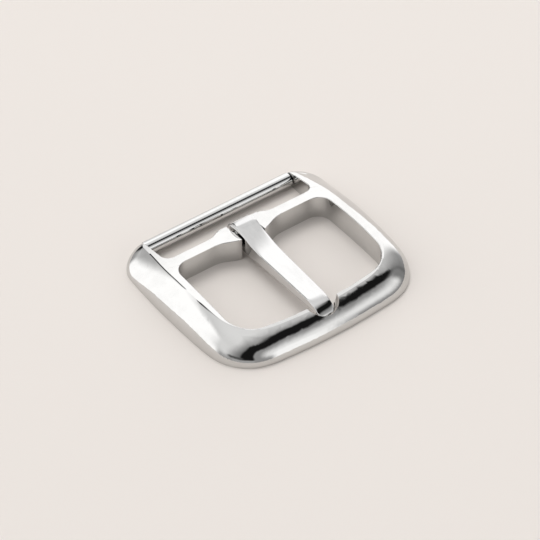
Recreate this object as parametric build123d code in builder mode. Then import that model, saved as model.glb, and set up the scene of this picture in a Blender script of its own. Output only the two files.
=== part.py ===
"""A polished tang buckle for an 18 mm watch strap.

The frame is one cast and polished piece: two side rails and a domed front rail round an open
window, a crossbar with two flared shoulders, and two ears that hold a spring bar.
A round neck joins the shoulders, and the tang is curled round it. The tip of the tang rests
in a scoop in the front rail. The spring bar is a tube with a sprung plunger at each end.

All lengths are in millimetres. X runs along the spring bar, +Y points from the tip of the tang
to the spring bar, and +Z is up. The origin is under the middle of the buckle, on its flat
underside.
"""

import os
from math import cos, radians, sin, sqrt, tan

from build123d import *

# Overall sizes of the frame
strap_width = 18.0
ear_width = 3.2
overall_length = 21.0
frame_height = 2.9
overrun = 2.0

# Arched top, seen from the side
arch_radius = 46.0
arch_apex_y = -0.8

# Distances from the spring bar's axis to the rear end and to the crossbar
bar_to_rear = 0.9
bar_to_crossbar = 4.0

# Outer outline on the ground
front_bow = 0.4
front_corner_width = 4.9
front_corner_length = 5.0
front_corner_radius = 5.15
front_side_inset = 0.4
side_bow_radius = 85.0
rear_side_inset = 0.1
rear_corner_length = 3.6
rear_corner_radius = 3.35

# Crest line, where the dome meets the arched band on top
side_band = 0.72
front_band = 0.36
crest_bow = 0.42
crest_corner_width = 4.04
crest_corner_length = 4.76
crest_corner_radius = 4.4
crest_side_inset = 0.2
crest_bow_radius = 50.0
crest_ear_inset = 0.45
crest_ear_length = 0.7
crest_ear_radius = 0.75
crest_ear_reach = 0.1

# Dome between the two outlines: part of an ellipse that stands upright on the ground
dome_reach_share = 1.91
dome_rise_share = 1.138
dome_arc_deg = 68.0
stretch_steps = (4, 4, 4, 4, 1)
quarter_share = 0.25
rail_margin = 0.5
cutter_margin = 4.0

# Window in front of the crossbar
front_rail = 2.6
window_side_bow = 0.22
window_rear_inset = 0.16
window_front_inset = 0.1
window_front_bow = 0.97
window_front_corner = 3.1
window_rear_corner = 1.6

# Crossbar, its flared shoulders and the round neck between them
crossbar_width = 1.25
shoulder_gap = 2.8
front_flare_run = 2.8
front_flare = 0.9
front_flare_slope_deg = 12.0
rear_flare_run = 1.9
rear_flare_flat = 0.7
rear_flare = 0.6
neck_diameter = 1.0
neck_depth = 1.0
neck_root = 0.4
slot_corner = 1.0

# Scoop for the tip of the tang
scoop_radius = 1.8
scoop_to_front = 2.85
scoop_depth = 0.6

# Tang, a strip that is curled round the neck and dips towards its tip
eye_clearance = 0.06
curl_wall = 0.84
tang_root_width = 2.4
tang_tip_width = 1.95
tang_straight = 2.5
tang_depth = 0.54
tang_slope_deg = 20.0
tang_dip_radius = 3.65
tang_bend_deg = 42.0
tang_bend_radius = 3.6
tang_bend_thickness = 0.92
tang_to_front = 1.5
tang_tip_thickness = 0.36
tang_under_radius = 7.0
tang_curl_start_deg = -133.5
tang_tip_corner = 0.7
seam_width = 0.12
seam_deg = 245.0
seam_cut_share = 3.0

# Spring bar: a tube with turned-in ends, and a plunger at each end
bar_diameter = 1.5
bar_wall = 0.2
bar_end_play = 0.06
bar_lip = 0.3
bar_break = 0.12
plunger_clearance = 0.04
plunger_head = 1.6
plunger_seat = 0.02
plunger_tip_diameter = 0.6
plunger_reach = 0.5
plunger_break = 0.15
hole_clearance = 0.05
hole_spare = 0.15

# Coil spring between the plungers
spring_wire = 0.16
spring_clearance = 0.05
spring_seat = 0.02
spring_turns = 10
wire_sides = 6

# Sizes that follow from the ones above
half_strap = strap_width / 2
half_width = half_strap + ear_width
half_length = overall_length / 2
half_gap = shoulder_gap / 2
half_window = half_strap + window_side_bow
blank_reach = half_length + rail_margin
cut_height = frame_height + overrun
bar_axis_y = half_length - bar_to_rear
crossbar_rear_y = bar_axis_y - bar_to_crossbar
crossbar_front_y = crossbar_rear_y - crossbar_width
window_front_y = front_rail - half_length
neck_axis_y = crossbar_rear_y - crossbar_width / 2
neck_axis_z = frame_height - neck_depth
scoop_centre_y = scoop_to_front - half_length
scoop_centre_z = frame_height - scoop_depth
tang_top_z = frame_height - tang_depth
tang_tip_y = tang_to_front - half_length
tang_bend_y = tang_tip_y + tang_bend_radius * sin(radians(tang_bend_deg))
tang_taper_y = neck_axis_y - tang_straight
eye_radius = neck_diameter / 2 + eye_clearance
curl_radius = eye_radius + curl_wall
bar_radius = bar_diameter / 2
bar_half = half_strap - bar_end_play
bore_radius = bar_radius - bar_wall
tip_radius = plunger_tip_diameter / 2
lip_radius = tip_radius + plunger_clearance
head_radius = bore_radius - plunger_clearance
head_start = bar_half - bar_lip - plunger_seat
head_end = head_start - plunger_head
spring_half = head_end - spring_seat
spring_radius = bore_radius - spring_clearance - spring_wire / 2


def arch_height(y):
    """Height of the arched top above the ground, at one place along the buckle."""
    return frame_height - arch_radius + sqrt(arch_radius**2 - (y - arch_apex_y) ** 2)


def outline_points(front, corner, corner_radius, side_front, bow_radius, side_rear, ear_radius, ear, end):
    """Points along the right-hand half of an outline, evenly spread on each of its stretches."""
    quarter = ((front[0] + corner[0]) / 2, front[1] + (corner[1] - front[1]) * quarter_share)
    stretches = (
        ThreePointArc(front, quarter, corner),
        RadiusArc(corner, side_front, -corner_radius),
        RadiusArc(side_front, side_rear, -bow_radius),
        RadiusArc(side_rear, ear, -ear_radius),
        Line(ear, end),
    )
    points = []
    for stretch, steps in zip(stretches, stretch_steps):
        points += [stretch @ (step / steps) for step in range(steps)]
    return points + [stretches[-1] @ 1]


def polar(centre_y, centre_z, radius, angle):
    """A point of the tang's side view, at an angle in degrees round a centre."""
    return (centre_y + radius * cos(radians(angle)), centre_z + radius * sin(radians(angle)))


bar_axis_z = arch_height(bar_axis_y) / 2
base_points = outline_points(
    (0, -half_length),
    (half_width - front_corner_width, front_bow - half_length),
    front_corner_radius,
    (half_width - front_side_inset, front_corner_length - half_length),
    side_bow_radius,
    (half_width - rear_side_inset, half_length - rear_corner_length),
    rear_corner_radius,
    (half_strap, half_length),
    (half_strap - rail_margin, half_length),
)
crest_front_y = window_front_y - front_band
crest_side_x = half_window + side_band
crest_points = outline_points(
    (0, crest_front_y),
    (crest_side_x - crest_corner_width, crest_front_y + crest_bow),
    crest_corner_radius,
    (crest_side_x - crest_side_inset, crest_front_y + crest_corner_length),
    crest_bow_radius,
    (half_strap + crest_ear_inset, bar_axis_y - crest_ear_length),
    crest_ear_radius,
    (half_strap - crest_ear_reach, bar_axis_y),
    (half_strap - rail_margin, bar_axis_y),
)
dome_rays = list(zip(base_points, crest_points))
mirrored_rays = dome_rays[stretch_steps[0] // 2 : 0 : -1]
rays_past_middle = [(Vector(-low.X, low.Y), Vector(-high.X, high.Y)) for low, high in mirrored_rays]

with BuildPart() as dome_cutter:
    # Everything outside the dome, lofted through upright profiles that stand round the outline
    for low, high in rays_past_middle + dome_rays:
        inward = (high - low).normalized()
        reach = (high - low).length * dome_reach_share
        rise = arch_height(high.Y) * dome_rise_share
        with BuildSketch(Plane(origin=low, x_dir=inward, z_dir=inward.cross(Vector(0, 0, 1)))):
            with BuildLine():
                EllipticalCenterArc((reach, 0), reach, rise, 180 - dome_arc_deg, arc_size=dome_arc_deg)
                Polyline(
                    (reach * (1 - cos(radians(dome_arc_deg))), rise * sin(radians(dome_arc_deg))),
                    (-cutter_margin, cut_height),
                    (-cutter_margin, -overrun),
                    (0, -overrun),
                    (0, 0),
                )
            make_face()
    loft()

with BuildPart() as frame:
    # Right-hand half of the blank, with the arched top
    with BuildSketch(Plane.YZ):
        with BuildLine():
            ThreePointArc(
                (-blank_reach, arch_height(-blank_reach)),
                (0, arch_height(0)),
                (blank_reach, arch_height(blank_reach)),
            )
            Polyline(
                (blank_reach, arch_height(blank_reach)),
                (blank_reach, 0),
                (-blank_reach, 0),
                (-blank_reach, arch_height(-blank_reach)),
            )
        make_face()
    extrude(amount=half_width + rail_margin)

    # Slot between the ears, up to the rear of the crossbar and its shoulders
    shoulder_x = half_gap + rear_flare_flat
    shoulder_y = crossbar_rear_y + rear_flare
    with BuildSketch() as slot:
        with BuildLine():
            Polyline(
                (shoulder_x, shoulder_y),
                (0, shoulder_y),
                (0, blank_reach + overrun),
                (half_strap, blank_reach + overrun),
                (half_strap, crossbar_rear_y),
                (shoulder_x + rear_flare_run, crossbar_rear_y),
            )
            Spline(
                (shoulder_x + rear_flare_run, crossbar_rear_y),
                (shoulder_x, shoulder_y),
                tangents=((-1, 0), (-1, 0)),
            )
        make_face()
        fillet(slot.vertices().sort_by_distance((half_strap, crossbar_rear_y))[0], slot_corner)
    extrude(amount=cut_height, mode=Mode.SUBTRACT)

    # Window, with a bowed front and side, and the front flare of the shoulder left standing in it
    window_rear_x = half_window - window_rear_inset
    window_corner_x = half_window - window_front_inset
    window_corner_y = window_front_y + window_front_bow
    flare_start_x = half_gap + front_flare_run
    flare_y = crossbar_front_y - front_flare
    with BuildSketch() as window:
        with BuildLine():
            ThreePointArc(
                (-window_corner_x, window_corner_y),
                (0, window_front_y),
                (window_corner_x, window_corner_y),
            )
            ThreePointArc(
                (window_corner_x, window_corner_y),
                (half_window, (window_front_y + crossbar_front_y) / 2),
                (window_rear_x, crossbar_front_y),
            )
            Line((window_rear_x, crossbar_front_y), (flare_start_x, crossbar_front_y))
            Spline(
                (flare_start_x, crossbar_front_y),
                (half_gap, flare_y),
                tangents=((-1, 0), (-1, -tan(radians(front_flare_slope_deg)))),
            )
            Polyline(
                (half_gap, flare_y),
                (-window_corner_x, flare_y),
                (-window_corner_x, window_corner_y),
            )
        make_face()
        rear_corner = window.vertices().sort_by_distance((window_rear_x, crossbar_front_y))[0]
        fillet(rear_corner, window_rear_corner)
        front_corner = window.vertices().sort_by_distance((window_corner_x, window_corner_y))[0]
        fillet(front_corner, window_front_corner)
    extrude(amount=cut_height, mode=Mode.SUBTRACT)

    # Gap for the tang between the shoulders
    with BuildSketch():
        with Locations((0, neck_axis_y)):
            Rectangle(shoulder_gap, crossbar_width + 2 * (front_flare + rear_flare))
    extrude(amount=cut_height, mode=Mode.SUBTRACT)

    # Domed outside
    add(dome_cutter.part, mode=Mode.SUBTRACT)

    # Blind hole in the ear for the spring bar, and the scoop in the front rail
    with BuildSketch(Plane.YZ.offset(half_strap)):
        with Locations((bar_axis_y, bar_axis_z)):
            Circle(tip_radius + hole_clearance)
    extrude(amount=plunger_reach - bar_end_play + hole_spare, mode=Mode.SUBTRACT)
    with Locations((0, scoop_centre_y, scoop_centre_z)):
        Sphere(scoop_radius, mode=Mode.SUBTRACT)

    # Half of the neck between the shoulders, then the left-hand half of the frame
    with BuildSketch(Plane.YZ):
        with Locations((neck_axis_y, neck_axis_z)):
            Circle(neck_diameter / 2)
    extrude(amount=half_gap + neck_root)
    mirror(about=Plane.YZ)

with BuildPart() as tang:
    # Side view: the strip slopes down from the curl, runs level and bends down at its tip
    curl_end = 90 + tang_slope_deg
    curl_top = polar(neck_axis_y, neck_axis_z, curl_radius, curl_end)
    dip_z = tang_top_z + tang_dip_radius * (1 - cos(radians(tang_slope_deg)))
    dip_run = (curl_top[1] - dip_z) / tan(radians(tang_slope_deg))
    tang_level_y = curl_top[0] - dip_run - tang_dip_radius * sin(radians(tang_slope_deg))
    slope_end = polar(tang_level_y, tang_top_z + tang_dip_radius, tang_dip_radius, tang_slope_deg - 90)
    bend_z = tang_top_z - tang_bend_radius
    tip_under = polar(tang_bend_y, bend_z, tang_bend_radius - tang_tip_thickness, 90 + tang_bend_deg)
    bend_under = (tang_bend_y, tang_top_z - tang_bend_thickness)
    with BuildSketch(Plane.YZ.offset(-tang_root_width / 2)):
        with BuildLine():
            Line(curl_top, slope_end)
            Line((tang_level_y, tang_top_z), (tang_bend_y, tang_top_z))
            CenterArc((tang_level_y, tang_top_z + tang_dip_radius), tang_dip_radius, -90, tang_slope_deg)
            CenterArc((tang_bend_y, bend_z), tang_bend_radius, 90, tang_bend_deg)
            Line(polar(tang_bend_y, bend_z, tang_bend_radius, 90 + tang_bend_deg), tip_under)
            RadiusArc(tip_under, bend_under, tang_under_radius)
            Line(bend_under, polar(neck_axis_y, neck_axis_z, curl_radius, tang_curl_start_deg))
            CenterArc(
                (neck_axis_y, neck_axis_z),
                curl_radius,
                tang_curl_start_deg,
                curl_end - tang_curl_start_deg,
            )
        make_face()
    extrude(amount=tang_root_width)

    # Plan view: full width at the curl, tapered to a tip with rounded corners
    with BuildSketch() as tang_plan:
        with BuildLine():
            Polyline(
                (tang_root_width / 2, neck_axis_y + curl_radius + overrun),
                (tang_root_width / 2, tang_taper_y),
                (tang_tip_width / 2, tang_tip_y),
                (-tang_tip_width / 2, tang_tip_y),
                (-tang_root_width / 2, tang_taper_y),
                (-tang_root_width / 2, neck_axis_y + curl_radius + overrun),
                close=True,
            )
        make_face()
        fillet(tang_plan.vertices().group_by(Axis.Y)[0], tang_tip_corner)
    extrude(amount=neck_axis_z + curl_radius + overrun, mode=Mode.INTERSECT)

    # Eye for the neck, and the seam where the end of the strip meets its underside
    with BuildSketch(Plane.YZ.offset(-tang_root_width)):
        with Locations(Location((neck_axis_y, neck_axis_z, 0), (0, 0, seam_deg))):
            Circle(eye_radius)
        with Locations(polar(neck_axis_y, neck_axis_z, curl_radius, seam_deg)):
            Rectangle(seam_cut_share * curl_wall, seam_width, rotation=seam_deg)
    extrude(amount=2 * tang_root_width, mode=Mode.SUBTRACT)

bar_plane = Plane(origin=(0, bar_axis_y, bar_axis_z), x_dir=(1, 0, 0), z_dir=(0, -1, 0))
bar_axis = Axis((0, bar_axis_y, bar_axis_z), (1, 0, 0))

with BuildPart() as spring_bar_tube:
    # Half section of the tube, turned about the bar's axis
    with BuildSketch(bar_plane) as tube_section:
        with BuildLine():
            Polyline(
                (-bar_half, bar_radius),
                (bar_half, bar_radius),
                (bar_half, lip_radius),
                (bar_half - bar_lip, lip_radius),
                (bar_half - bar_lip, bore_radius),
                (bar_lip - bar_half, bore_radius),
                (bar_lip - bar_half, lip_radius),
                (-bar_half, lip_radius),
                close=True,
            )
        make_face()
        chamfer(tube_section.vertices().group_by(Axis.Y)[-1], bar_break)
    revolve(axis=bar_axis)

with BuildPart() as spring_bar_plunger_right:
    # Head inside the tube, and a stepped tip that passes its turned-in end
    with BuildSketch(bar_plane) as plunger_section:
        with BuildLine():
            Polyline(
                (head_end, 0),
                (head_end, head_radius),
                (head_start, head_radius),
                (head_start, tip_radius),
                (bar_half + plunger_reach, tip_radius),
                (bar_half + plunger_reach, 0),
                close=True,
            )
        make_face()
        end_corner = plunger_section.vertices().sort_by_distance((bar_half + plunger_reach, tip_radius))[0]
        chamfer(end_corner, plunger_break)
    revolve(axis=bar_axis)

with BuildPart() as spring_bar_plunger_left:
    mirror(spring_bar_plunger_right.part, about=Plane.YZ)

with BuildPart() as spring_bar_spring:
    # Coil spring that presses the two plungers apart
    with BuildLine() as coil:
        Helix(
            pitch=2 * spring_half / spring_turns,
            height=2 * spring_half - spring_wire,
            radius=spring_radius,
            center=(-spring_half + spring_wire / 2, bar_axis_y, bar_axis_z),
            direction=(1, 0, 0),
        )
    with BuildSketch(Plane(origin=coil.line @ 0, z_dir=coil.line % 0)):
        RegularPolygon(spring_wire / 2, wire_sides)
    sweep(is_frenet=True)

frame.part.label = "frame"
tang.part.label = "tang"
spring_bar_tube.part.label = "spring_bar_tube"
spring_bar_plunger_left.part.label = "spring_bar_plunger_left"
spring_bar_plunger_right.part.label = "spring_bar_plunger_right"
spring_bar_spring.part.label = "spring_bar_spring"

os.makedirs("parts", exist_ok=True)
export_step(frame.part, "parts/frame.step")
export_step(tang.part, "parts/tang.step")
export_step(spring_bar_tube.part, "parts/spring_bar_tube.step")
export_step(spring_bar_plunger_left.part, "parts/spring_bar_plunger_left.step")
export_step(spring_bar_plunger_right.part, "parts/spring_bar_plunger_right.step")
export_step(spring_bar_spring.part, "parts/spring_bar_spring.step")
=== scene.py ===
# %% [markdown]
# # A polished tang buckle
#
# The real object is a small buckle from a watch strap. Its frame is cast, ground and mirror
# polished, and a tang swings on a round neck in its middle. Almost all that the eye sees on such
# metal is a reflection, so this lesson spends its effort on three things: clean curved surfaces,
# a believable polish, and a studio for the metal to reflect.
#
# The exact solids come from the CAD model. They are loaded first, and they never move.

from math import cos, degrees, radians, sin

import bmesh
import bpy
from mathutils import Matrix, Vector
from mathutils.kdtree import KDTree


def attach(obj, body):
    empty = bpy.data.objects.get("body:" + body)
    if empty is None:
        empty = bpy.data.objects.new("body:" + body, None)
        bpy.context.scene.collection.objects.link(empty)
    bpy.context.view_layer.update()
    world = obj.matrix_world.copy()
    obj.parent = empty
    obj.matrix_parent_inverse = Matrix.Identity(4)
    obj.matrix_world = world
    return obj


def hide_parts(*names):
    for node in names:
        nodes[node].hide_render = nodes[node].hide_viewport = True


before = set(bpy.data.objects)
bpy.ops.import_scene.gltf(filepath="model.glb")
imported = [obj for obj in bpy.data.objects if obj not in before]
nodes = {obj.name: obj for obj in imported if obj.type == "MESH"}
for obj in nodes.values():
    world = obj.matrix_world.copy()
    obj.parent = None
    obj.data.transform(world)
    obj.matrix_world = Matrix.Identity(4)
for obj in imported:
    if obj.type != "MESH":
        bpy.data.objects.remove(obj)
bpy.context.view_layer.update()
print("CAD nodes:", sorted(nodes))

# %% [markdown]
# ## The camera
#
# The photograph was taken from above the front left corner with a long lens, so that the far ear
# looks almost as large as the near one. A 167 mm lens from 25 cm away gives the same picture. The
# camera comes first, because every later choice is judged through it.

# %% Camera
MM = 0.001
camera_data = bpy.data.cameras.new("camera")
camera_data.lens = 166.67
camera_data.sensor_width = 36
camera_data.clip_start = 0.01
camera_data.clip_end = 20
camera = bpy.data.objects.new("camera", camera_data)
camera.location = Vector((-104.944, -143.736, 172.294)) * MM
camera.rotation_euler = (radians(46.0), 0, radians(-36.01))
bpy.context.scene.collection.objects.link(camera)
bpy.context.scene.camera = camera
bpy.context.scene.view_settings.view_transform = "Standard"
print("camera is", round(camera.location.length * 1000), "mm from the middle of the buckle")

# %% [markdown]
# ## The floor
#
# The buckle lies on a pale stone top. A plain, slightly warm white floor stands for it: it gives
# the metal something light to reflect near its foot, and it catches the soft shadow under the
# rails. A grid is the simplest floor, and it is far larger than the buckle, so that no view finds
# its edge.

# %% Floor
FLOOR_HALF_WIDTH = 3.0  # metres
floor_bm = bmesh.new()
bmesh.ops.create_grid(floor_bm, x_segments=1, y_segments=1, size=FLOOR_HALF_WIDTH)
floor_mesh = bpy.data.meshes.new("floor")
floor_bm.to_mesh(floor_mesh)
floor_bm.free()
floor = bpy.data.objects.new("floor", floor_mesh)
bpy.context.scene.collection.objects.link(floor)

floor_material = bpy.data.materials.new("pale_stone")
floor_material.use_nodes = True
floor_shader = floor_material.node_tree.nodes["Principled BSDF"]
floor_shader.inputs["Base Color"].default_value = (0.84, 0.785, 0.74, 1)
floor_shader.inputs["Roughness"].default_value = 0.55
floor_shader.inputs["Specular IOR Level"].default_value = 0.2
floor_mesh.materials.append(floor_material)
print("floor is", floor.dimensions.x, "m wide")

# %% [markdown]
# ## A studio for the metal to reflect
#
# A mirror has no colour of its own. In the photograph the flat top is white, because it reflects a
# big soft light behind the buckle. The front rail goes from grey through a black line to a soft
# white, because it reflects a pale ceiling, the dark rim of a hood, and then the light under that
# hood. So the world is painted with soft panels of light and dark, with rounded corners. Each one
# is given by its compass direction and its height above the horizon. Real lamps and cards would
# do the same, but they would throw shadows and would have to be kept out of the other views.
#
# A node group makes one panel, and it is used again for every light and every gap. It measures how
# far a direction lies inside a rectangle with rounded corners, and turns that depth into a mask.

# %% Soft panel group
panel = bpy.data.node_groups.new("Soft panel", "ShaderNodeTree")
for name, kind in (
    ("Direction", "NodeSocketVector"),
    ("Bearing", "NodeSocketFloat"),
    ("Half Width", "NodeSocketFloat"),
    ("Low", "NodeSocketFloat"),
    ("High", "NodeSocketFloat"),
    ("Corner", "NodeSocketFloat"),
    ("Softness", "NodeSocketFloat"),
):
    panel.interface.new_socket(name, in_out="INPUT", socket_type=kind)
panel.interface.new_socket("Mask", in_out="OUTPUT", socket_type="NodeSocketFloat")


def math_node(tree, operation, *values):
    """A Math node whose inputs are numbers or other nodes' outputs."""
    node = tree.nodes.new("ShaderNodeMath")
    node.operation = operation
    for socket, value in zip(node.inputs, values):
        if isinstance(value, bpy.types.NodeSocket):
            tree.links.new(value, socket)
        else:
            socket.default_value = value
    return node.outputs[0]


def soft_step(tree, value, start, end):
    """0 before start and 1 after end, with a smooth ramp between them."""
    node = tree.nodes.new("ShaderNodeMapRange")
    node.interpolation_type = "SMOOTHSTEP"
    for name, source in (("Value", value), ("From Min", start), ("From Max", end)):
        if isinstance(source, bpy.types.NodeSocket):
            tree.links.new(source, node.inputs[name])
        else:
            node.inputs[name].default_value = source
    return node.outputs["Result"]


inside = panel.nodes.new("NodeGroupInput").outputs
turn = panel.nodes.new("ShaderNodeVectorRotate")
turn.rotation_type = "Z_AXIS"
panel.links.new(inside["Direction"], turn.inputs["Vector"])
panel.links.new(math_node(panel, "MULTIPLY", inside["Bearing"], -1.0), turn.inputs["Angle"])
axes = panel.nodes.new("ShaderNodeSeparateXYZ")
panel.links.new(turn.outputs["Vector"], axes.inputs["Vector"])
sideways = math_node(panel, "ARCTAN2", axes.outputs["Y"], axes.outputs["X"])
beside = math_node(panel, "ABSOLUTE", sideways)
height = math_node(panel, "ARCSINE", axes.outputs["Z"])
both_ends = math_node(panel, "ADD", inside["Low"], inside["High"])
middle = math_node(panel, "MULTIPLY", both_ends, 0.5)
from_middle = math_node(panel, "ABSOLUTE", math_node(panel, "SUBTRACT", height, middle))
half_height = math_node(panel, "SUBTRACT", inside["High"], middle)
rounding = inside["Corner"]
core_width = math_node(panel, "SUBTRACT", inside["Half Width"], rounding)
past_side = math_node(panel, "SUBTRACT", beside, core_width)
core_height = math_node(panel, "SUBTRACT", half_height, rounding)
past_end = math_node(panel, "SUBTRACT", from_middle, core_height)
side_only = math_node(panel, "MAXIMUM", past_side, 0.0)
end_only = math_node(panel, "MAXIMUM", past_end, 0.0)
from_core = math_node(panel, "SQRT", math_node(
    panel, "ADD", math_node(panel, "MULTIPLY", side_only, side_only),
    math_node(panel, "MULTIPLY", end_only, end_only),
))
in_core = math_node(panel, "MINIMUM", math_node(panel, "MAXIMUM", past_side, past_end), 0.0)
depth = math_node(panel, "SUBTRACT", rounding, math_node(panel, "ADD", from_core, in_core))
soft = inside["Softness"]
mask = soft_step(panel, depth, math_node(panel, "MULTIPLY", soft, -1.0), soft)
panel_out = panel.nodes.new("NodeGroupOutput")
panel.links.new(mask, panel_out.inputs["Mask"])
print("soft panel group has", len(panel.nodes), "nodes")

# %% [markdown]
# ## The painted world
#
# The room itself is a grey that gets lighter towards the ceiling. The panels are laid over it in the
# order of the list, so a later one covers an earlier one: first a black hood, then its open side,
# and then the light in it. The camera sees an even pale room instead, because the panels are only
# meant to be seen in the metal.

# %% World
ROOM_LOW, ROOM_HIGH = 0.48, 1.05  # brightness near the horizon and overhead
FADE_START = 0.3  # the height, as the sine of an angle, where the room starts to get lighter
ROOM_SEEN = 0.92  # brightness for the camera
world = bpy.data.worlds.new("studio")
bpy.context.scene.world = world
world.use_nodes = True
sky = world.node_tree
sky.nodes.clear()
direction = sky.nodes.new("ShaderNodeTexCoord").outputs["Generated"]
up = sky.nodes.new("ShaderNodeSeparateXYZ")
sky.links.new(direction, up.inputs["Vector"])
fading = sky.nodes.new("ShaderNodeMapRange")
sky.links.new(up.outputs["Z"], fading.inputs["Value"])
fading.inputs["From Min"].default_value = FADE_START
fading.inputs["To Min"].default_value = ROOM_LOW
fading.inputs["To Max"].default_value = ROOM_HIGH
level = fading.outputs["Result"]
# bearing, half width, lowest and highest angle, rounding and softness in degrees, and brightness
panels = (
    ("back light", 42, 25, -4, 57, 6, 6, 1.55),
    ("left light", 141, 31, -8, 50, 8, 7, 1.55),
    ("left wall", 180, 18, 16, 58, 10, 14, 1.0),
    ("shade round the dark hood", -75, 78, -60, 77, 50, 17, 0.20),
    ("dark hood", -71.5, 68.5, -40, 69, 44, 3, 0.012),
    ("right shoulder of the hood", -22, 18, 40, 63, 9, 3, 0.012),
    ("light under the hood's foot", -132, 24, -40, 14, 4, 4, 0.50),
    ("foot of the dark hood", -150, 14, 14, 24, 4, 5, 0.10),
    ("open side of the hood", -64, 49, -40, 52.5, 22, 3, 0.38),
    ("front light", -52, 40, 15, 40, 12, 11, 1.15),
    ("front light's foot", -72, 9, -20, 26, 8, 5, 1.40),
    ("dark corner of the room", -12, 9, -25, 40, 6, 7, 0.30),
    ("dark gap between the lights", 80, 12, 4, 62, 5, 4, 0.02),
    ("dark edge over the left light", 100, 16, 49, 60, 5, 3, 0.05),
)
for name, *angles, brightness in panels:
    node = sky.nodes.new("ShaderNodeGroup")
    node.node_tree = panel
    node.label = name
    sky.links.new(direction, node.inputs["Direction"])
    for socket, angle in zip(list(node.inputs)[1:], angles):
        socket.default_value = radians(angle)
    mix = sky.nodes.new("ShaderNodeMix")
    sky.links.new(node.outputs["Mask"], mix.inputs["Factor"])
    sky.links.new(level, mix.inputs["A"])
    mix.inputs["B"].default_value = brightness
    level = mix.outputs["Result"]
light_path = sky.nodes.new("ShaderNodeLightPath")
seen = sky.nodes.new("ShaderNodeMix")
sky.links.new(light_path.outputs["Is Camera Ray"], seen.inputs["Factor"])
sky.links.new(level, seen.inputs["A"])
seen.inputs["B"].default_value = ROOM_SEEN
background = sky.nodes.new("ShaderNodeBackground")
background.inputs["Color"].default_value = (1.0, 1.0, 1.0, 1)
sky.links.new(seen.outputs["Result"], background.inputs["Strength"])
world_out = sky.nodes.new("ShaderNodeOutputWorld")
sky.links.new(background.outputs["Background"], world_out.inputs["Surface"])
print("the studio has", len(panels), "panels of light and dark")

# %% [markdown]
# ## The key light
#
# The floor needs one soft shadow under the rails, and the world is too even to give it. A round area
# light does, high up behind the buckle. It is hidden from reflections, because the metal
# already has its lights in the world.

# %% Key light
key_data = bpy.data.lights.new("key", "AREA")
key_data.shape = "DISK"
key_data.size = 0.35
key_data.energy = 1.35
key = bpy.data.objects.new("key", key_data)
key.location = (0.10, 0.30, 0.62)
key.rotation_euler = key.location.to_track_quat("Z", "Y").to_euler()
key.visible_glossy = False
bpy.context.scene.collection.objects.link(key)
print("key light is", round(key.location.length, 2), "m away")

# %% [markdown]
# ## Edges that a buffing wheel has rounded
#
# No edge of a polished buckle is sharp: the wheel leaves each one with a radius of a few
# hundredths of a millimetre. Small as it is, that radius turns through a wide range of
# directions, so it draws the fine dark and bright lines that make polished steel look solid. The
# CAD frame keeps plain edges, so it gets a visual copy, and the long edges of its top are
# bevelled. A CAD mesh is loose triangles, so the copy is merged first. Then every face corner takes
# back the solid's exact normal: the one at the nearest corner that best fits its face. The
# middle of each bevel points halfway, so all of the turning happens inside the bevels.

# %% Helpers for a piece that stands for a CAD node
LONGEST_STEP = 1.3  # mm, more than the length of any narrow strip in a bevel
SAME_PLACE = 0.035  # mm, how much farther than the nearest corner a matching one may be


def round_edges(skin, chosen, width, turning=None):
    """Bevels the edges by a width in mm, and marks the middle of each bevel in the turning layer."""
    made = bmesh.ops.bevel(
        skin, geom=chosen, offset=width * MM, offset_type="OFFSET", affect="EDGES",
        segments=2, profile=0.5, material=-1, clamp_overlap=False, loop_slide=True,
    )
    largest = LONGEST_STEP * width * MM**2
    strips = {face for face in made["faces"] if face.calc_area() < largest}
    if turning is not None:
        for point in made["verts"]:
            point[turning] = int(all(face in strips for face in point.link_faces))
    return len(chosen)


def show_instead(skin, name, node):
    """Makes an object of the skin, and lets it stand for the CAD node on the same body."""
    mesh = bpy.data.meshes.new(name)
    skin.to_mesh(mesh)
    skin.free()
    mesh.shade_smooth()
    piece = bpy.data.objects.new(name, mesh)
    bpy.context.scene.collection.objects.link(piece)
    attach(piece, node)
    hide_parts(node)
    return piece


def exact_normals(piece, solid):
    """Gives the piece's corners the solid's own normals, except in the middle of its bevels."""
    corners = KDTree(len(solid.data.loops))
    for loop in solid.data.loops:
        corners.insert(solid.data.vertices[loop.vertex_index].co, loop.index)
    corners.balance()
    normals = [corner.vector.copy() for corner in solid.data.corner_normals]
    turning_points = piece.data.attributes["turning"].data
    halfway = {i: Vector((0, 0, 0)) for i, mark in enumerate(turning_points) if mark.value}
    for face in piece.data.polygons:
        for vertex in set(face.vertices) & halfway.keys():
            halfway[vertex] += face.normal
    found = []
    for face in piece.data.polygons:
        for vertex in face.vertices:
            if vertex in halfway:
                found.append(halfway[vertex].normalized())
                continue
            place = piece.data.vertices[vertex].co
            reach = corners.find(place)[2] + SAME_PLACE * MM
            choices = [normals[index] for _, index, _ in corners.find_range(place, reach)]
            found.append(max(choices, key=lambda normal: normal.dot(face.normal)))
    piece.data.normals_split_custom_set(found)


print("the CAD frame has", len(nodes["frame"].data.polygons), "loose triangles")

# %% [markdown]
# ## The frame with its soft edges
#
# Only edges that run free are bevelled: the crest between the arched top and the dome, and the rims
# of the openings. At the ears' tips, the scoop and the neck many small faces meet, and a bevel there
# would fold over itself. The crest comes first, because the strips of a bevelled rim bend about as
# much as the crest does, and they would be taken for it.

# %% Frame with rounded edges
# all of these are in mm
ARCH_RADIUS, ARCH_APEX_Y, ARCH_TOP = 46.0, -0.8, 2.9
TOP_TOLERANCE = 0.004
EARS_TIPS_Y = 8.6
SCOOP_HALF_WIDTH, SCOOP_Y = 2.2, -5
NECK_HALF_WIDTH, NECK_FRONT_Y = 1.5, 3
MERGE, SLIVER = 0.03, 0.015
CREST_BEVEL, RIM_BEVEL = 0.10, 0.07


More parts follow.
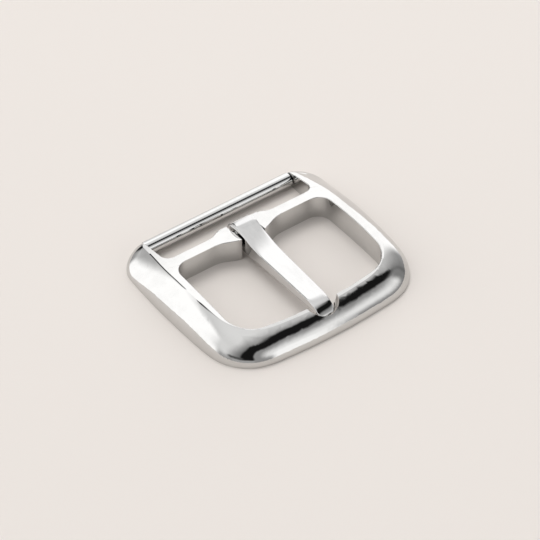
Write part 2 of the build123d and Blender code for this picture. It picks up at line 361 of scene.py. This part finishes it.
def on_top(point):
    """True for a point of the arched top."""
    arch = ARCH_TOP - ARCH_RADIUS + (ARCH_RADIUS**2 - (point.co.y / MM - ARCH_APEX_Y) ** 2) ** 0.5
    return abs(point.co.z / MM - arch) < TOP_TOLERANCE


def runs_free(edge):
    """True away from the ears' tips, the scoop and the neck, where many small faces meet."""
    return all(
        point.co.y < EARS_TIPS_Y * MM
        and not (abs(point.co.x) < SCOOP_HALF_WIDTH * MM and point.co.y < SCOOP_Y * MM)
        and not (abs(point.co.x) < NECK_HALF_WIDTH * MM and point.co.y > NECK_FRONT_Y * MM)
        for point in edge.verts
    )


def top_outline(least, most):
    """The top's edges whose bend, in degrees, is in this range."""
    return [
        edge for edge in frame_skin.edges
        if edge.is_manifold and runs_free(edge)
        and sum(all(on_top(point) for point in face.verts) for face in edge.link_faces) == 1
        and least < degrees(edge.calc_face_angle()) < most
    ]


frame_skin = bmesh.new()
frame_skin.from_mesh(nodes["frame"].data)
turning = frame_skin.verts.layers.int.new("turning")
bmesh.ops.remove_doubles(frame_skin, verts=frame_skin.verts, dist=MERGE * MM)
bmesh.ops.dissolve_degenerate(frame_skin, edges=frame_skin.edges, dist=SLIVER * MM)
crests = round_edges(frame_skin, top_outline(12, 35), CREST_BEVEL, turning)
rims = round_edges(frame_skin, top_outline(50, 120), RIM_BEVEL, turning)
polished_frame = show_instead(frame_skin, "polished_frame", "frame")
exact_normals(polished_frame, nodes["frame"])
print("rounded", rims, "edges of walls and", crests, "of the crest")

# %% [markdown]
# ## The tang
#
# The tang is a strip that was forged thick at its root, bent cold, and curled round the neck. It is
# made in the same order here. One edge, as long as the strip is thick, is spun round the neck's
# axis, and then it is extruded from station to station towards the tip. That gives a side face of
# even quads. A cut through the solid would give it too, but in long thin triangles, and those
# don't take a bevel or a Subdivision Surface well.

# %% Tang, seen from the side
# lengths are in mm and angles in degrees
NECK_Y, NECK_Z, BORE, CURL = 4.975, 1.9, 0.56, 1.40
CURL_END, CURL_START = -131.0, 110.0
SWEEP_END, TANG_TOP, TANG_RISE = -0.1, 2.36, 0.0404
TIP_BEND_Y, TIP_BEND_RADIUS = -6.568, 3.63
UNDER_Y, UNDER_Z, UNDER_SLOPE = 0.15, 1.087, 0.0522
UNDER_BEND_Y, UNDER_BEND_Z, UNDER_BEND, UNDER_BEND_POWER = -6.7, 1.44, 0.0545, 2.05


def round_neck(radius, angle):
    """A point (y, z) at a radius and an angle in degrees from the neck's axis."""
    return NECK_Y + radius * cos(radians(angle)), NECK_Z + radius * sin(radians(angle))


def top_at(y):
    """Height of the strip's top: a parabola, then level, then the arc down to the tip."""
    if y > SWEEP_END:
        return TANG_TOP + TANG_RISE * (y - SWEEP_END) ** 2
    if y > TIP_BEND_Y:
        return TANG_TOP
    return TANG_TOP - TIP_BEND_RADIUS + (TIP_BEND_RADIUS**2 - (TIP_BEND_Y - y) ** 2) ** 0.5


def under_at(y):
    """Height of the strip's underside: an even slope, then an arc down to the tip."""
    slope = UNDER_Z - UNDER_SLOPE * (y - UNDER_Y)
    return min(slope, UNDER_BEND_Z - UNDER_BEND * max(0, UNDER_BEND_Y - y) ** UNDER_BEND_POWER)


strip = bmesh.new()
inner = strip.verts.new((0, *round_neck(BORE, CURL_END)))
outer = strip.verts.new((0, *round_neck(CURL, CURL_END)))
first = strip.edges.new((inner, outer))
spun = bmesh.ops.spin(
    strip, geom=[inner, outer, first], cent=(0, NECK_Y, NECK_Z), axis=(1, 0, 0),
    angle=radians(CURL_START - CURL_END), steps=26,
)
last = next(part for part in spun["geom_last"] if isinstance(part, bmesh.types.BMEdge))

# each station is a point (y, z) on the strip's top and one on its underside
stations = [
    ((y, top_at(y)), round_neck(BORE, angle))
    for y, angle in ((4.33, 133), (4.16, 156), (4.00, 179), (3.84, 202), (3.68, 223.5))
]
stations.append(((3.50, top_at(3.50)), (3.93, 0.889)))
for y in (3.2, 2.8, 2.4, 2.0, 1.6, 1.2, 0.8, 0.4, 0.0, -0.7, -1.6, -2.6, -3.6, -4.6, -5.6,
          -6.3, -6.6, -6.9, -7.2, -7.5, -7.8, -8.05, -8.3, -8.5):
    stations.append(((y, top_at(y)), (y, under_at(y))))
stations.append(((-8.72, top_at(-8.72)), (-8.62, under_at(-8.62))))
stations.append(((-8.99, top_at(-8.99)), (-8.76, 1.235)))

near, far = sorted(last.verts, key=lambda point: (point.co.yz - Vector((NECK_Y, NECK_Z))).length)
for top_point, under_point in stations:
    made = bmesh.ops.extrude_edge_only(strip, edges=[last])["geom"]
    last = next(part for part in made if isinstance(part, bmesh.types.BMEdge))
    fresh_near = min(last.verts, key=lambda point: (point.co - near.co).length)
    near, far = fresh_near, last.other_vert(fresh_near)
    near.co.yz = under_point
    far.co.yz = top_point
print("side of the tang:", len(strip.faces), "quads")

# %% [markdown]
# ## The tang's width and its soft edges
#
# Now the side face is extruded across, to the width of the strip. The real strip is filed narrower
# towards its tip, so each point's distance from the middle comes from its place along the strip.
# The sharp edges of the outline are one clean chain each, and they get a bevel of a tenth of a
# millimetre. A Subdivision Surface then gives one unbroken sweep.

# %% Tang, with its width and its soft edges
ROOT_HALF_WIDTH, TAPER_START_Y, TAPER = 1.2, 2.5, 0.01963
TIP_ROUND_Y, TIP_ROUND = -8.25, 0.55
TANG_BEVEL = 0.10


def half_width_at(y):
    """Half the strip's width: even at the root, narrower towards the tip, rounded at the tip."""
    tapered = min(ROOT_HALF_WIDTH, ROOT_HALF_WIDTH - TAPER * (TAPER_START_Y - y))
    return tapered - TIP_ROUND * max(0, TIP_ROUND_Y - y) ** 2


across = bmesh.ops.extrude_face_region(strip, geom=list(strip.faces))["geom"]
far_side = {part for part in across if isinstance(part, bmesh.types.BMVert)}
for point in strip.verts:
    point.co.x = half_width_at(point.co.y) * (-1 if point in far_side else 1)
bmesh.ops.recalc_face_normals(strip, faces=strip.faces)
bmesh.ops.scale(strip, vec=(MM, MM, MM), verts=strip.verts)
outline = [edge for edge in strip.edges if degrees(edge.calc_face_angle()) > 60]
rounded = round_edges(strip, outline, TANG_BEVEL)
polished_tang = show_instead(strip, "polished_tang", "tang")
smooth_sweep = polished_tang.modifiers.new("one sweep", "SUBSURF")
smooth_sweep.levels = smooth_sweep.render_levels = 2
print("rounded", rounded, "edges of the tang")

# %% [markdown]
# ## Polished steel
#
# A buff leaves a mirror that is not quite perfect: faint swirls, a trace of haze where the wheel
# did not reach, and very small waves in the surface. Each of these is a noise on Object
# coordinates, so it stays on the metal in every view. They are gathered in one group, because
# every steel piece has them in its own amount.

# %% Polish group
SWIRLS, PATCHES, WAVES = 900.0, 160.0, 2600.0  # per metre
SWIRL_SHARE, PATCH_SHARE = 0.45, 0.55
HAZE_START, HAZE_END = 0.46, 0.64
polish = bpy.data.node_groups.new("Buffed metal", "ShaderNodeTree")
for name, kind, value in (
    ("Tone", "NodeSocketColor", (0.80, 0.80, 0.80, 1)),
    ("Haze Tone", "NodeSocketColor", (0.74, 0.73, 0.72, 1)),
    ("Roughness", "NodeSocketFloat", 0.03),
    ("Haze", "NodeSocketFloat", 0.04),
    ("Swirl Size", "NodeSocketFloat", 1.0),
    ("Stretch", "NodeSocketVector", (1.0, 1.0, 1.0)),
):
    socket = polish.interface.new_socket(name, in_out="INPUT", socket_type=kind)
    socket.default_value = value
for name, kind in (
    ("Color", "NodeSocketColor"),
    ("Roughness", "NodeSocketFloat"),
    ("Height", "NodeSocketFloat"),
):
    polish.interface.new_socket(name, in_out="OUTPUT", socket_type=kind)
given = polish.nodes.new("NodeGroupInput").outputs
place = polish.nodes.new("ShaderNodeTexCoord").outputs["Object"]
stretched = polish.nodes.new("ShaderNodeVectorMath")
stretched.operation = "MULTIPLY"
polish.links.new(place, stretched.inputs[0])
polish.links.new(given["Stretch"], stretched.inputs[1])


def noise(tree, vector, scale, detail, roughness):
    """A Noise Texture's value, with its scale in waves per metre."""
    node = tree.nodes.new("ShaderNodeTexNoise")
    tree.links.new(vector, node.inputs["Vector"])
    if isinstance(scale, bpy.types.NodeSocket):
        tree.links.new(scale, node.inputs["Scale"])
    else:
        node.inputs["Scale"].default_value = scale
    node.inputs["Detail"].default_value = detail
    node.inputs["Roughness"].default_value = roughness
    return node.outputs["Fac"]


swirl_scale = math_node(polish, "DIVIDE", SWIRLS, given["Swirl Size"])
swirls = noise(polish, stretched.outputs[0], swirl_scale, detail=4.0, roughness=0.6)
patches = noise(polish, place, PATCHES, detail=3.0, roughness=0.55)
swirl_part = math_node(polish, "MULTIPLY", swirls, SWIRL_SHARE)
patch_part = math_node(polish, "MULTIPLY", patches, PATCH_SHARE)
hazy = soft_step(polish, math_node(polish, "ADD", swirl_part, patch_part), HAZE_START, HAZE_END)
tone = polish.nodes.new("ShaderNodeMix")
tone.data_type = "RGBA"
polish.links.new(hazy, tone.inputs["Factor"])
polish.links.new(given["Tone"], tone.inputs[6])
polish.links.new(given["Haze Tone"], tone.inputs[7])
rough = math_node(polish, "MULTIPLY_ADD", hazy, given["Haze"], given["Roughness"])
waves = noise(polish, stretched.outputs[0], WAVES, detail=2.0, roughness=0.5)
polish_out = polish.nodes.new("NodeGroupOutput")
polish.links.new(tone.outputs[2], polish_out.inputs["Color"])
polish.links.new(rough, polish_out.inputs["Roughness"])
polish.links.new(waves, polish_out.inputs["Height"])
print("polish group has", len(polish.nodes), "nodes")

# %% [markdown]
# ## One steel for each kind of piece
#
# The frame and the tang are buffed by hand, the tube of the spring bar is turned and then
# tumbled, the plungers keep fine turning rings, and the spring is drawn wire. All of them are the
# same alloy, so they differ only in their polish: how rough it is, how hazy, and in which
# direction its marks run.

# %% Steels
def steel(name, tone, haze_tone, roughness, haze, swirl_size, stretch, bump):
    """A polished steel, with the group's marks in its colour, its roughness and its bump."""
    material = bpy.data.materials.new(name)
    material.use_nodes = True
    tree = material.node_tree
    shader = tree.nodes["Principled BSDF"]
    shader.inputs["Metallic"].default_value = 1.0
    shader.inputs["IOR"].default_value = 2.5
    marks = tree.nodes.new("ShaderNodeGroup")
    marks.node_tree = polish
    marks.inputs["Tone"].default_value = (*tone, 1)
    marks.inputs["Haze Tone"].default_value = (*haze_tone, 1)
    marks.inputs["Roughness"].default_value = roughness
    marks.inputs["Haze"].default_value = haze
    marks.inputs["Swirl Size"].default_value = swirl_size
    marks.inputs["Stretch"].default_value = stretch
    relief = tree.nodes.new("ShaderNodeBump")
    relief.inputs["Strength"].default_value = bump
    relief.inputs["Distance"].default_value = 0.02 * MM
    tree.links.new(marks.outputs["Color"], shader.inputs["Base Color"])
    tree.links.new(marks.outputs["Roughness"], shader.inputs["Roughness"])
    tree.links.new(marks.outputs["Height"], relief.inputs["Height"])
    tree.links.new(relief.outputs["Normal"], shader.inputs["Normal"])
    return material


steels = {
    "frame": steel(
        "buffed_frame_steel", (0.65, 0.645, 0.635), (0.62, 0.615, 0.605),
        roughness=0.02, haze=0.05, swirl_size=1.0, stretch=(1, 1, 1), bump=0.02,
    ),
    "tang": steel(
        "buffed_tang_steel", (0.65, 0.645, 0.64), (0.62, 0.615, 0.61),
        roughness=0.03, haze=0.05, swirl_size=1.2, stretch=(3, 1, 1), bump=0.02,
    ),
    "spring_bar_tube": steel(
        "tumbled_bar_steel", (0.66, 0.66, 0.655), (0.62, 0.62, 0.61),
        roughness=0.04, haze=0.06, swirl_size=0.8, stretch=(6, 1, 1), bump=0.03,
    ),
    "spring_bar_plunger_left": steel(
        "turned_plunger_steel", (0.62, 0.62, 0.61), (0.55, 0.55, 0.54),
        roughness=0.16, haze=0.1, swirl_size=0.5, stretch=(12, 1, 1), bump=0.2,
    ),
    "spring_bar_spring": steel(
        "drawn_spring_steel", (0.60, 0.60, 0.60), (0.52, 0.52, 0.52),
        roughness=0.22, haze=0.1, swirl_size=0.5, stretch=(1, 1, 1), bump=0.2,
    ),
}
steels["spring_bar_plunger_right"] = steels["spring_bar_plunger_left"]
shown = dict(nodes, frame=polished_frame, tang=polished_tang)
for name, material in steels.items():
    shown[name].data.materials.clear()
    shown[name].data.materials.append(material)
print("materials:", sorted(material.name for material in set(steels.values())))
